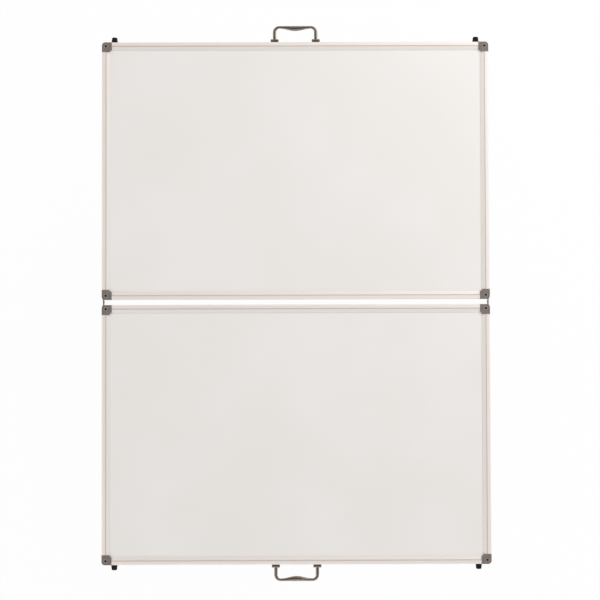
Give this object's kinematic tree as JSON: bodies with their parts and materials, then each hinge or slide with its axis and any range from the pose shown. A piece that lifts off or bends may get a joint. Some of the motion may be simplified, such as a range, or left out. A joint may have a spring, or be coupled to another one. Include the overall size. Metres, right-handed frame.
{
  "type": "magnetic desk whiteboard easel",
  "caption": "Folding easel of two aluminium-framed magnetic whiteboards joined by double-pivot hinge links, with grey corner caps, rubber feet and swinging carrying handles.",
  "frame": {"origin": "on the resting plane, under the middle of the gap between the two panels", "axes": "+X along the long edges to the picture's right, +Y from the front panel to the rear panel, +Z out of the writing faces; it lies open and flat on its back"},
  "size_m": [0.9, 1.29, 0.018],
  "materials": {
    "writing_sheet": "white gloss enamel on steel",
    "core": "pressed fibre core",
    "back_sheet": "galvanised steel",
    "rail": "satin anodised extrusion",
    "cap": "grey moulded ABS",
    "key": "zinc casting",
    "black_screw": "black oxide",
    "foot": "matt black rubber",
    "bracket": "dark nickel plate",
    "handle": "dark nickel plate",
    "link": "zinc-plated steel",
    "bright_fastener": "zinc-plated steel"
  },
  "bodies": {
    "front_board": {"front_face_sheet": "writing_sheet", "front_core_board": "core", "front_back_sheet": "back_sheet", "front_outer_rail": "rail", "front_hinge_rail": "rail", "front_left_rail": "rail", "front_right_rail": "rail", "front_outer_left_cap": "cap", "front_outer_right_cap": "cap", "front_hinge_left_cap": "cap", "front_hinge_right_cap": "cap", "front_outer_corner_keys": "key", "front_hinge_corner_keys": "key", "front_cap_screws": "black_screw", "front_left_foot": "foot", "front_right_foot": "foot", "front_foot_screws": "bright_fastener", "front_left_bracket": "bracket", "front_right_bracket": "bracket", "front_bracket_rivets": "bright_fastener", "front_handle_pins": "bracket", "front_link_screws": "bright_fastener", "front_link_washers": "bright_fastener"},
    "hinge_links": {"left_hinge_link": "link", "right_hinge_link": "link"},
    "rear_board": {"rear_face_sheet": "writing_sheet", "rear_core_board": "core", "rear_back_sheet": "back_sheet", "rear_outer_rail": "rail", "rear_hinge_rail": "rail", "rear_left_rail": "rail", "rear_right_rail": "rail", "rear_outer_left_cap": "cap", "rear_outer_right_cap": "cap", "rear_hinge_left_cap": "cap", "rear_hinge_right_cap": "cap", "rear_outer_corner_keys": "key", "rear_hinge_corner_keys": "key", "rear_cap_screws": "black_screw", "rear_left_foot": "foot", "rear_right_foot": "foot", "rear_foot_screws": "bright_fastener", "rear_left_bracket": "bracket", "rear_right_bracket": "bracket", "rear_bracket_rivets": "bright_fastener", "rear_handle_pins": "bracket", "rear_link_screws": "bright_fastener", "rear_link_washers": "bright_fastener"},
    "front_handle": {"front_handle_grip": "handle"},
    "rear_handle": {"rear_handle_grip": "handle"}
  },
  "joints": [
    {"name": "front_link_pivot", "type": "hinge", "parent": "front_board", "child": "hinge_links", "pos_m": [0, -0.011, 0.0088], "axis": [-1, 0, 0], "range_deg": [0, 90]},
    {"name": "rear_link_pivot", "type": "hinge", "parent": "hinge_links", "child": "rear_board", "pos_m": [0, 0.011, 0.0088], "axis": [-1, 0, 0], "range_deg": [0, 90]},
    {"name": "front_handle_swing", "type": "hinge", "parent": "front_board", "child": "front_handle", "pos_m": [0, -0.6109, 0.0088], "axis": [-1, 0, 0], "range_deg": [0, 90]},
    {"name": "rear_handle_swing", "type": "hinge", "parent": "rear_board", "child": "rear_handle", "pos_m": [0, 0.6109, 0.0088], "axis": [1, 0, 0], "range_deg": [0, 90]}
  ]
}
